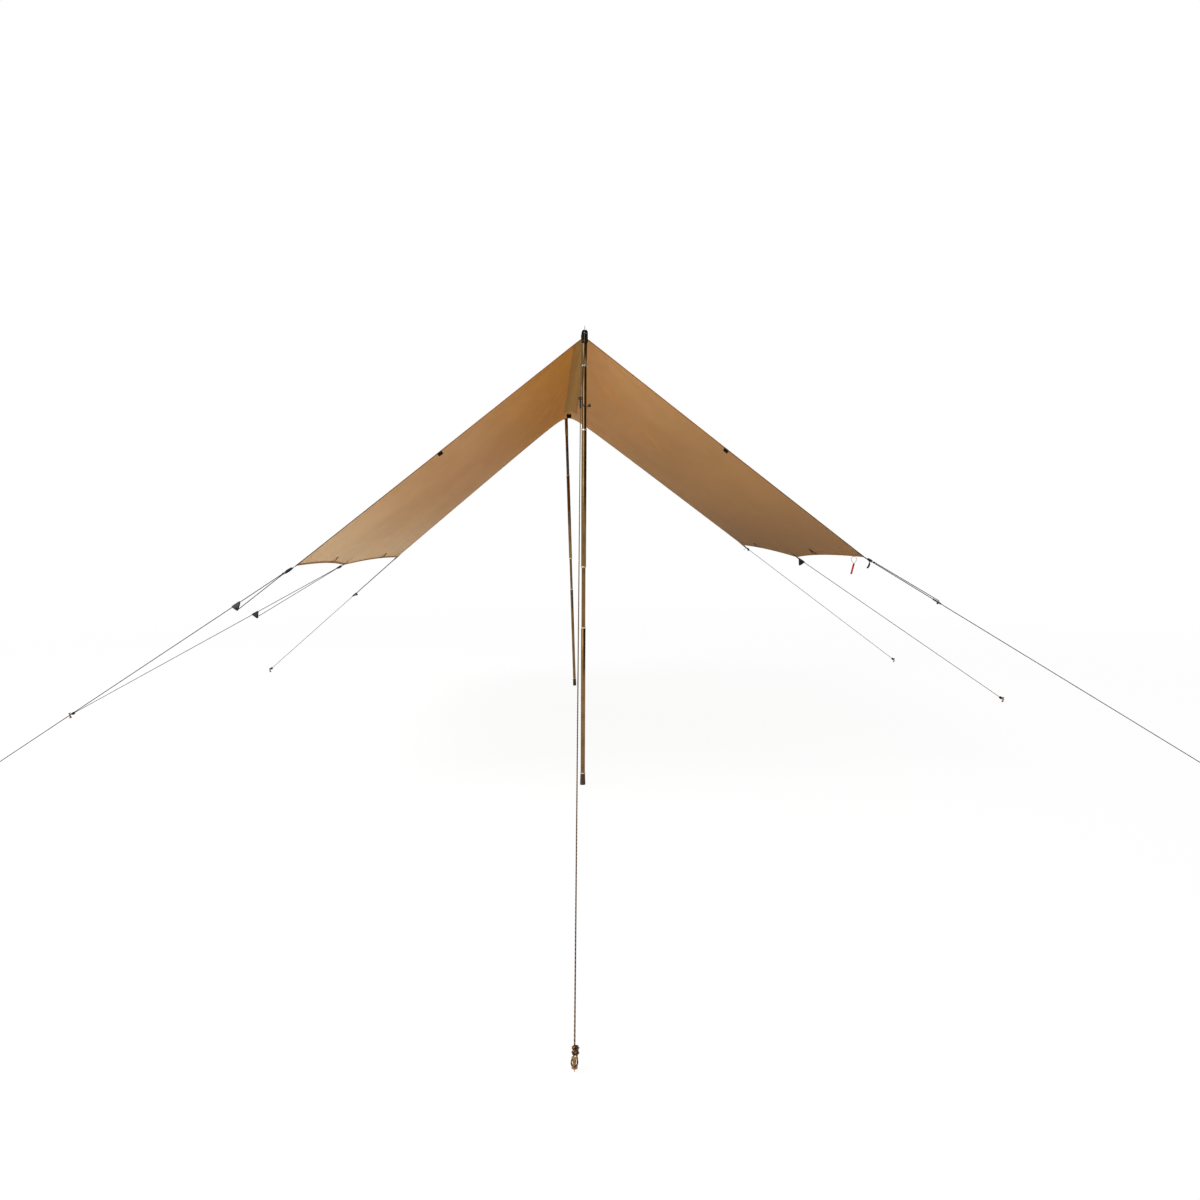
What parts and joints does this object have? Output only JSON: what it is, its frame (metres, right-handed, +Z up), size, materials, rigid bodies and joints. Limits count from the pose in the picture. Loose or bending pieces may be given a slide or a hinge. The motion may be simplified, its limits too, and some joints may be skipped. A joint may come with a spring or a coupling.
{
  "type": "sunshade tarp",
  "caption": "Rectangular sunshade tarp pitched as an A-frame on telescoping poles, with webbing ties, guylines, sliding runners and pegs.",
  "frame": {"origin": "on the ground, midway between the two poles, under the ridge", "axes": "+Z up, +Y along the ridge from the front pole to the rear pole, +X to the right seen from the front"},
  "size_m": [7.4839, 6.6971, 2.532],
  "materials": {
    "eyelet": "darkened, satin",
    "guyline_cord": "braided",
    "webbing": "woven webbing, matt",
    "peg": "anodised, satin",
    "pole_foot": "moulded, matt",
    "pole_ring": "bare, bright",
    "pole_stem": "anodised, satin",
    "pole_tube": "anodised, satin",
    "pole_tip_steel": "satin",
    "runner": "moulded, satin",
    "cloth_left": "woven cloth, matt",
    "cloth_patch": "woven cloth, matt",
    "cloth_right": "woven cloth, matt",
    "tag_cord": "braided",
    "tag_strap": "woven strap"
  },
  "bodies": {
    "root": {"front_grommet": "eyelet", "front_guyline": "guyline_cord", "front_hood": "webbing", "front_peg": "peg", "left_front_edge_loop": "webbing", "left_front_guyline": "guyline_cord", "left_front_hem_loop": "webbing", "left_front_peg": "peg", "left_front_tie": "webbing", "left_panel": "cloth_left", "left_rear_guyline": "guyline_cord", "left_rear_hem_loop": "webbing", "left_rear_peg": "peg", "left_rear_tie": "webbing", "left_side_guyline": "guyline_cord", "left_side_peg": "peg", "left_side_tie": "webbing", "rear_grommet": "eyelet", "rear_hood": "webbing", "ridge_strip": "cloth_patch", "right_front_edge_loop": "webbing", "right_front_guyline": "guyline_cord", "right_front_hem_loop": "webbing", "right_front_peg": "peg", "right_front_tie": "webbing", "right_panel": "cloth_right", "right_rear_guyline": "guyline_cord", "right_rear_hem_loop": "webbing", "right_rear_peg": "peg", "right_rear_tie": "webbing", "right_side_guyline": "guyline_cord", "right_side_peg": "peg", "right_side_tie": "webbing"},
    "front_pole_upper": {"front_pole_tip": "pole_tip_steel", "front_pole_upper_tube": "pole_tube", "front_pole_upper_stem": "pole_stem"},
    "front_pole_middle": {"front_pole_middle_collar": "pole_ring", "front_pole_middle_tube": "pole_tube", "front_pole_lower_stem": "pole_stem"},
    "front_pole_lower": {"front_pole_lower_collar": "pole_ring", "front_pole_lower_tube": "pole_tube", "front_pole_foot": "pole_foot"},
    "rear_pole_upper": {"rear_pole_tip": "pole_tip_steel", "rear_pole_upper_tube": "pole_tube", "rear_pole_upper_stem": "pole_stem"},
    "rear_pole_middle": {"rear_pole_middle_collar": "pole_ring", "rear_pole_middle_tube": "pole_tube", "rear_pole_lower_stem": "pole_stem"},
    "rear_pole_lower": {"rear_pole_lower_collar": "pole_ring", "rear_pole_lower_tube": "pole_tube", "rear_pole_foot": "pole_foot"},
    "front_runner_body": {"front_runner": "runner"},
    "left_front_runner_body": {"left_front_runner": "runner"},
    "left_side_runner_body": {"left_side_runner": "runner"},
    "left_rear_runner_body": {"left_rear_runner": "runner"},
    "right_front_runner_body": {"right_front_runner": "runner"},
    "right_side_runner_body": {"right_side_runner": "runner"},
    "right_rear_runner_body": {"right_rear_runner": "runner"},
    "pull_tag": {"tag_cord": "tag_cord", "tag_strap": "tag_strap"}
  },
  "joints": [
    {"name": "front_pole_tilt", "type": "hinge", "parent": "root", "child": "front_pole_upper", "pos_m": [0, -1.53, 2.49], "axis": [1, 0, -0.0092], "range_deg": [-10, 10]},
    {"name": "front_pole_upper_slide", "type": "slide", "parent": "front_pole_upper", "child": "front_pole_middle", "axis": [0.0092, 0, 1], "range_m": [0, 0.333]},
    {"name": "front_pole_lower_slide", "type": "slide", "parent": "front_pole_middle", "child": "front_pole_lower", "axis": [0.0092, 0, 1], "range_m": [0, 0.328]},
    {"name": "rear_pole_tilt", "type": "hinge", "parent": "root", "child": "rear_pole_upper", "pos_m": [-0.016, 1.53, 2.455], "axis": [0.9997, 0, 0.0252], "range_deg": [-10, 10]},
    {"name": "rear_pole_upper_slide", "type": "slide", "parent": "rear_pole_upper", "child": "rear_pole_middle", "axis": [-0.0252, 0, 0.9997], "range_m": [0, 0.353]},
    {"name": "rear_pole_lower_slide", "type": "slide", "parent": "rear_pole_middle", "child": "rear_pole_lower", "axis": [-0.0252, 0, 0.9997], "range_m": [0, 0.273]},
    {"name": "front_runner_slide", "type": "slide", "parent": "root", "child": "front_runner_body", "axis": [-0.0411, -0.7192, -0.6936], "range_m": [-0.475, 0.445], "deforming": ["front_guyline"]},
    {"name": "left_front_runner_slide", "type": "slide", "parent": "root", "child": "left_front_runner_body", "axis": [-0.8376, 0.1167, -0.5336], "range_m": [-0.235, 0.685], "deforming": ["left_front_guyline"]},
    {"name": "left_side_runner_slide", "type": "slide", "parent": "root", "child": "left_side_runner_body", "axis": [-0.8669, 0.2023, -0.4556], "range_m": [-0.645, 0.275], "deforming": ["left_side_guyline"]},
    {"name": "left_rear_runner_slide", "type": "slide", "parent": "root", "child": "left_rear_runner_body", "axis": [-0.6838, 0.4872, -0.5432], "range_m": [-0.54, 0.38], "deforming": ["left_rear_guyline"]},
    {"name": "right_front_runner_slide", "type": "slide", "parent": "root", "child": "right_front_runner_body", "axis": [0.8393, -0.138, -0.5259], "range_m": [-0.341, 0.579], "deforming": ["right_front_guyline"]},
    {"name": "right_side_runner_slide", "type": "slide", "parent": "root", "child": "right_side_runner_body", "axis": [0.8272, 0.2042, -0.5235], "range_m": [0, 0.966], "deforming": ["right_side_guyline"]},
    {"name": "right_rear_runner_slide", "type": "slide", "parent": "root", "child": "right_rear_runner_body", "axis": [0.7549, 0.4288, -0.4962], "range_m": [0, 0.955], "deforming": ["right_rear_guyline"]},
    {"name": "tag_swing", "type": "hinge", "parent": "root", "child": "pull_tag", "pos_m": [1.58854, -1.33167, 1.26975], "axis": [0, 1, 0], "range_deg": [-30, 30]}
  ]
}
